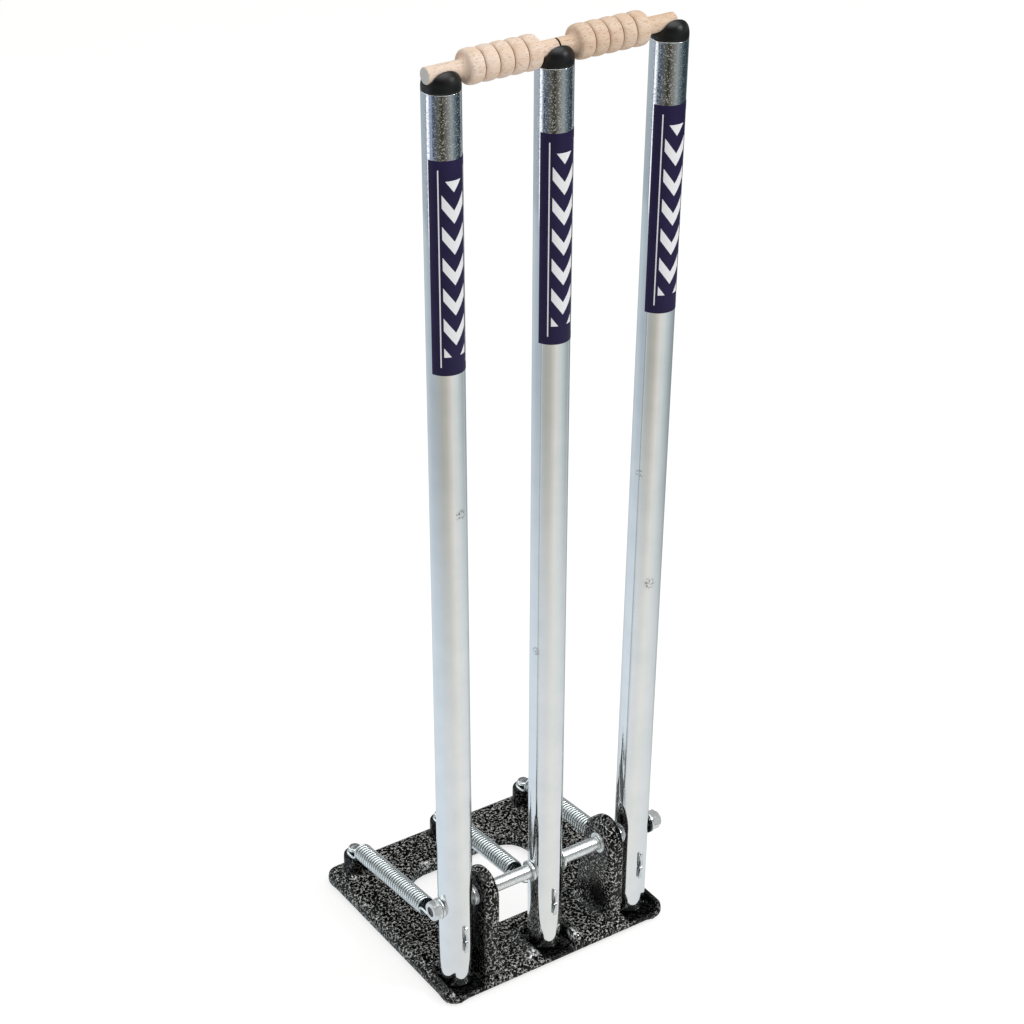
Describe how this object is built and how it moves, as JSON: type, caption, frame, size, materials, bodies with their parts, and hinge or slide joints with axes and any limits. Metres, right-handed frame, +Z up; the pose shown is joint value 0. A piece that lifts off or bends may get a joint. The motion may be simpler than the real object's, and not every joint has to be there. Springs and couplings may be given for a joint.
{
  "type": "cricket stumps",
  "caption": "Spring-back cricket stumps: chromed steel tubes on a heavy cast base, hinged on one cross bolt with return springs, with rubber caps and loose turned wooden bails.",
  "frame": {"origin": "on the floor, under the middle of the whole set's bounding box", "axes": "+Z up along the stumps, X along the row of stumps with the bolt's head at -X, -Y towards the bowler and +Y towards the springs"},
  "size_m": [0.205, 0.183, 0.7214],
  "materials": {
    "casting": "glossy black hammered paint with silver-grey veins",
    "zinc_steel": "bright zinc plate",
    "spring_wire": "bluish zinc plate",
    "chromed_tube": "bright chrome with light scuffs",
    "cap_rubber": "satin black",
    "bail_wood": "turned beech, sanded and unvarnished"
  },
  "bodies": {
    "base": {"base_casting": "casting", "pivot_bolt": "zinc_steel", "pivot_nut": "zinc_steel", "spacer_sleeve_left": "zinc_steel", "spacer_sleeve_right": "zinc_steel", "pivot_washer_1": "zinc_steel", "pivot_washer_2": "zinc_steel", "pivot_washer_3": "zinc_steel", "pivot_washer_4": "zinc_steel", "pivot_washer_5": "zinc_steel", "pivot_washer_6": "zinc_steel", "pivot_washer_7": "zinc_steel", "pivot_washer_8": "zinc_steel", "pivot_washer_9": "zinc_steel", "pivot_washer_10": "zinc_steel", "spring_screw_1": "zinc_steel", "spring_screw_2": "zinc_steel", "spring_screw_3": "zinc_steel", "return_spring_1": "spring_wire", "return_spring_2": "spring_wire", "return_spring_3": "spring_wire"},
    "stump_1": {"stump_tube_1": "chromed_tube", "top_cap_1": "cap_rubber", "split_pin_1": "zinc_steel"},
    "stump_2": {"stump_tube_2": "chromed_tube", "top_cap_2": "cap_rubber", "split_pin_2": "zinc_steel"},
    "stump_3": {"stump_tube_3": "chromed_tube", "top_cap_3": "cap_rubber", "split_pin_3": "zinc_steel"},
    "left_bail": {"bail_left": "bail_wood"},
    "right_bail": {"bail_right": "bail_wood"}
  },
  "joints": [
    {"name": "stump_1_tilt", "type": "hinge", "parent": "base", "child": "stump_1", "pos_m": [-0.0811, -0.0695, 0.077], "axis": [-1, 0, 0], "range_deg": [0, 80], "stiffness_Nm_per_rad": 1.5, "springref_deg": -57.3, "deforming": ["return_spring_1"]},
    {"name": "stump_2_tilt", "type": "hinge", "parent": "base", "child": "stump_2", "pos_m": [-0.0019, -0.0695, 0.077], "axis": [-1, 0, 0], "range_deg": [0, 80], "stiffness_Nm_per_rad": 1.5, "springref_deg": -57.3, "deforming": ["return_spring_2"]},
    {"name": "stump_3_tilt", "type": "hinge", "parent": "base", "child": "stump_3", "pos_m": [0.0773, -0.0695, 0.077], "axis": [-1, 0, 0], "range_deg": [0, 80], "stiffness_Nm_per_rad": 1.5, "springref_deg": -57.3, "deforming": ["return_spring_3"]},
    {"name": "left_bail_lift", "type": "slide", "parent": "base", "child": "left_bail", "axis": [0, 0, 1], "range_m": [0, 0.06]},
    {"name": "right_bail_lift", "type": "slide", "parent": "base", "child": "right_bail", "axis": [0, 0, 1], "range_m": [0, 0.06]}
  ]
}
